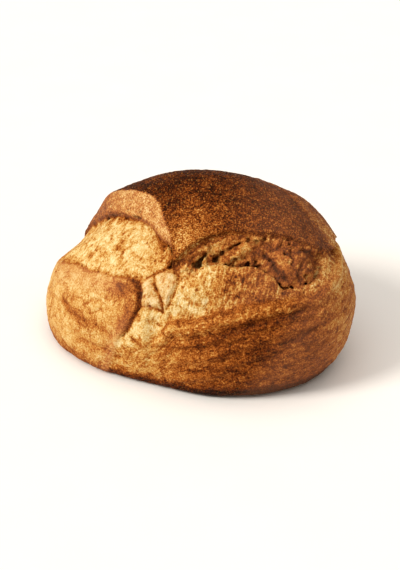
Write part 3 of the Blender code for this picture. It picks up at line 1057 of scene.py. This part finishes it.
def baked_wheat_crust():
    """Wheat dough baked hard. A dull skin with the faintest sheen, mottled with bran and tiny
    blisters, and matt crumb with drawn-out fibres where the dough tore."""
    material = bpy.data.materials.new("baked wheat crust")
    material.use_nodes = True
    tree = material.node_tree
    tree.nodes.clear()
    place = add(tree, "ShaderNodeTexCoord", output="Object")
    lay = add(tree, "ShaderNodeAttribute", output="Vector", attribute_name="lay")
    amount = {
        name: add(tree, "ShaderNodeAttribute", output="Fac", attribute_name=name)
        for name in ("bake", "mottled", "gritty", "stranded", "bran", "rosy", "hollow_shade", "torn")
    }

    # Patterns, each turned to swing round zero by about one each way.
    drawn = add(tree, "ShaderNodeMapping", {"Vector": lay, "Scale": (1.0, 0.28, 1.0)})
    patterns = []
    for vector, size, settings in (
        (place, 4.2, {"Detail": 4.0, "Roughness": 0.7}),
        (place, 1.15, {"Detail": 1.0, "Roughness": 0.6}),
        (drawn, 2.0, {"Detail": 3.0, "Roughness": 0.65, "Distortion": 0.5}),
    ):
        noise = add(tree, "ShaderNodeTexNoise", {"Vector": vector, "Scale": per(size), **settings})
        patterns.append(add(tree, "ShaderNodeMapRange", {0: noise, 1: 0.3, 2: 0.7, 3: -1.0}, clamp=False))
    mottle, grit, fibre = patterns

    # The bake carries painted shade as well: in each crease and crack, in the burst bubbles, round the knot
    # and along the foot.
    bake = amount["bake"]
    for pattern, name in zip(patterns, ("mottled", "gritty", "stranded")):
        bake = add(tree, "ShaderNodeMath", {0: pattern, 1: amount[name], 2: bake}, operation="MULTIPLY_ADD")
    crust = add(tree, "ShaderNodeValToRGB", {0: bake}, stops=(
        (0.0, "#efd9a8"), (1.0, "#1c0a01"), (0.16, "#dfc282"), (0.32, "#cc994d"),
        (0.48, "#ab6224"), (0.64, "#793b0f"), (0.82, "#4a1e05")))

    # Bran: small pale flecks, drawn out one way and scattered at random.
    turned = add(tree, "ShaderNodeMapping", {
        "Vector": place, "Rotation": (0.4, 0.3, 0.7), "Scale": (1.0, 0.42, 1.0)})
    cells = add(tree, "ShaderNodeTexVoronoi", {"Vector": turned, "Scale": per(2.0)}, output="Distance")
    fleck = add(tree, "ShaderNodeMapRange", {0: cells, 1: 0.14, 2: 0.30, 3: 1.0, 4: 0.0})

    # A dull pinkish tan over the rosy places, tan bran, and painted shade, the darkest brown, deep in the
    # hollows.
    for where, strength, code in (
        (amount["rosy"], 0.22, "#bd8060"),
        (fleck, amount["bran"], "#b97a3a"),
        (amount["hollow_shade"], 0.88, "#2a1206"),
    ):
        share = add(tree, "ShaderNodeMath", {0: where, 1: strength}, operation="MULTIPLY")
        crust = add(tree, "ShaderNodeMix", {0: share, 6: crust, 7: colour(code)}, data_type="RGBA", output=2)

    uneven = add(tree, "ShaderNodeMath", {0: grit, 1: 0.45, 2: mottle}, operation="MULTIPLY_ADD")
    strands = add(tree, "ShaderNodeMath", {0: amount["torn"], 1: 0.8, 2: 0.2}, operation="MULTIPLY_ADD")
    uneven = add(tree, "ShaderNodeMath", {0: fibre, 1: strands, 2: uneven}, operation="MULTIPLY_ADD")
    bump = add(tree, "ShaderNodeBump", {"Strength": 0.6, "Distance": 0.32 * MM, "Height": uneven})
    dryness = add(tree, "ShaderNodeMath", {
        0: amount["torn"], 1: 0.2, 2: 0.6}, operation="MULTIPLY_ADD")
    dryness = add(tree, "ShaderNodeMath", {
        0: mottle, 1: 0.06, 2: dryness}, operation="MULTIPLY_ADD", use_clamp=True)

    surface = add(tree, "ShaderNodeBsdfPrincipled", {
        "Base Color": crust, "Roughness": dryness, "IOR": 1.45, "Specular IOR Level": 0.05,
        "Normal": bump})
    add(tree, "ShaderNodeOutputMaterial", {"Surface": surface})
    return material


def pale_table():
    """A matt painted table top, almost white, with the faintest unevenness."""
    material = bpy.data.materials.new("matt white table")
    material.use_nodes = True
    tree = material.node_tree
    tree.nodes.clear()
    place = add(tree, "ShaderNodeTexCoord", output="Object")
    cloud = add(tree, "ShaderNodeTexNoise", {"Vector": place, "Scale": per(60.0)})
    tone = add(tree, "ShaderNodeValToRGB", {0: cloud}, stops=((0.0, "#f4f3f1"), (1.0, "#f8f7f5")))
    surface = add(tree, "ShaderNodeBsdfPrincipled", {"Base Color": tone, "Roughness": 0.9})
    add(tree, "ShaderNodeOutputMaterial", {"Surface": surface})
    return material


# ======== the table, the light and the view
TABLE_RADIUS = 2.5          # metres, as are all of these but the angle and the lens
VIEW_HEIGHT = 31.0          # degrees over the horizon
VIEW_DISTANCE = 1.036
VIEW_LENS = 85.0
VIEW_CENTRE = Vector((0.0029, -0.0001, 0.044))
LAMP_DISTANCE = 1.5
ROOM_LIGHT = 0.40
TABLE_GAP = 0.0002


def facing(location, target):
    """The turn that makes a lamp or a camera at the location look at the target."""
    return (Vector(target) - Vector(location)).to_track_quat("-Z", "Y").to_euler()


def seen_from(bearing, height, distance, centre):
    """A point at that distance; bearing 0 is in front, and 90 is at the right."""
    bearing, height = math.radians(bearing), math.radians(height)
    flat = math.cos(height)
    way = Vector((flat * math.sin(bearing), -flat * math.cos(bearing), math.sin(height)))
    return Vector(centre) + distance * way


def make_table(level):
    mesh = bpy.data.meshes.new("table_top")
    shape = bmesh.new()
    bmesh.ops.create_circle(shape, cap_ends=True, segments=96, radius=TABLE_RADIUS)
    bmesh.ops.translate(shape, vec=(0, 0, level), verts=shape.verts)
    shape.to_mesh(mesh)
    shape.free()
    mesh.materials.append(pale_table())
    return put_in_scene("table_top", mesh)


def make_lamp(name, bearing, height, spread, power, tint):
    """Even light from far away: the wider its spread in degrees, the softer its shadows."""
    lamp = bpy.data.lights.new(name, "SUN")
    lamp.angle = math.radians(spread)
    lamp.energy = power
    lamp.color = colour(tint)[:3]
    holder = put_in_scene(name, lamp)
    holder.location = seen_from(bearing, height, LAMP_DISTANCE, VIEW_CENTRE)
    holder.rotation_euler = facing(holder.location, VIEW_CENTRE)


def light_the_room():
    make_lamp("window", bearing=-66, height=40, spread=20, power=2.35, tint="#fff8ee")
    make_lamp("ceiling", bearing=0, height=80, spread=70, power=1.3, tint="#ffffff")
    world = bpy.data.worlds.new("pale room")
    world.use_nodes = True
    glow = world.node_tree.nodes["Background"]
    glow.inputs["Color"].default_value = colour("#fff0dc")
    glow.inputs["Strength"].default_value = ROOM_LIGHT
    bpy.context.scene.world = world
    bpy.context.scene.view_settings.view_transform = "Standard"


def make_camera():
    view = bpy.data.cameras.new("view")
    view.lens = VIEW_LENS
    view.clip_start = 0.05
    camera = put_in_scene("view", view)
    camera.location = seen_from(0, VIEW_HEIGHT, VIEW_DISTANCE, VIEW_CENTRE)
    camera.rotation_euler = facing(camera.location, VIEW_CENTRE)
    bpy.context.scene.camera = camera


# ======== putting it together
make_camera()
light_the_room()
loaf = make_loaf()
loaf.data.materials.append(baked_wheat_crust())
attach(loaf, "root")
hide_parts("sourdough_loaf")

table = make_table(cad_bounds[0][2] - TABLE_GAP)
